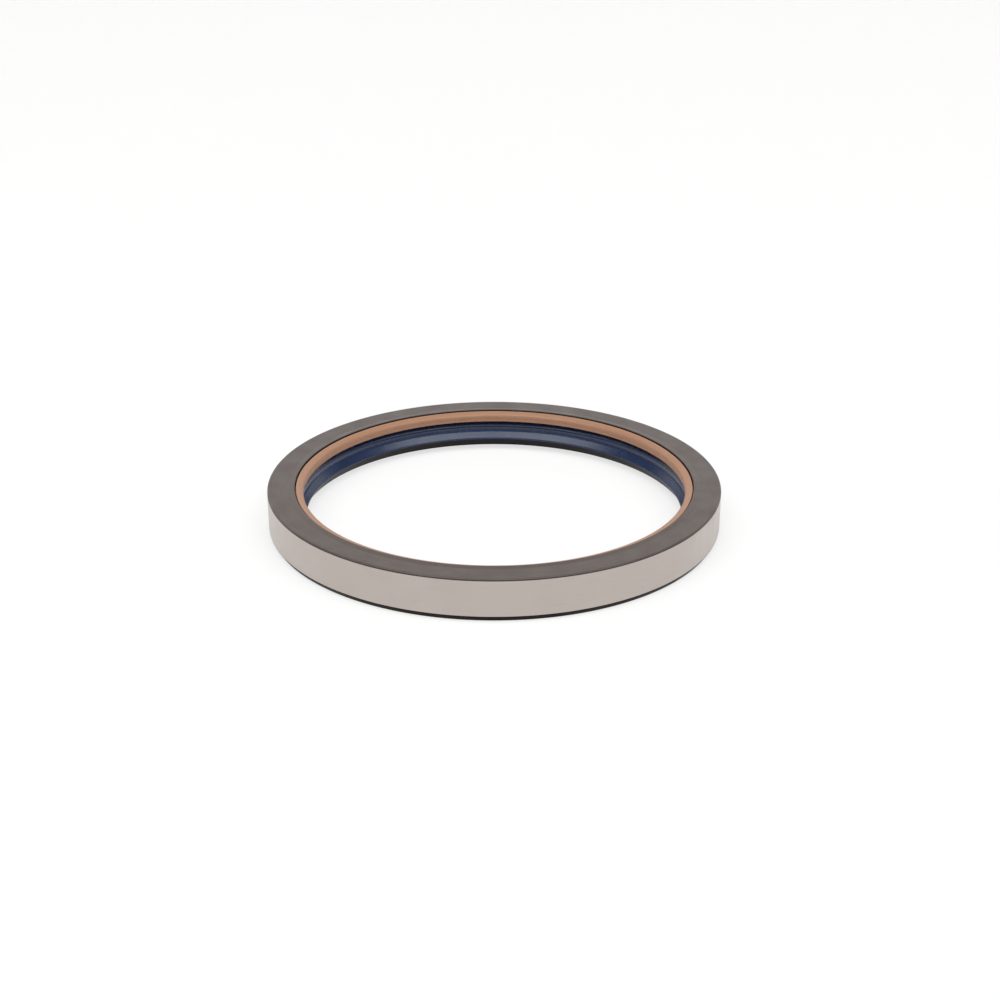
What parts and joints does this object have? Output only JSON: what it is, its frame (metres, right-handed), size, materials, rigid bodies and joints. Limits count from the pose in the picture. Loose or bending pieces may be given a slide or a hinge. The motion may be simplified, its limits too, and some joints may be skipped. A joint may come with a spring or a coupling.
{
  "type": "oil seal",
  "caption": "Ring-shaped rotary shaft oil seal with a flanged steel case, a tan scraper lip on the air side and a blue spring-loaded sealing lip on the oil side.",
  "frame": {"origin": "centre of the bore, in the plane of the lower rim that the seal rests on", "axes": "+Z along the bore, from the oil side towards the air side; X and Y are free, as the seal is round"},
  "size_m": [0.17, 0.17, 0.0162],
  "materials": {
    "case_steel": "ground bright on the outside, grey phosphate elsewhere",
    "polyurethane": "satin",
    "inner_ring_steel": "grey phosphate",
    "nitrile_rubber": "satin",
    "spring_steel": "bright drawn wire"
  },
  "bodies": {
    "root": {"outer_case": "case_steel", "dust_lip": "polyurethane", "inner_ring": "inner_ring_steel", "sealing_lip": "nitrile_rubber", "garter_spring": "spring_steel"}
  },
  "joints": []
}
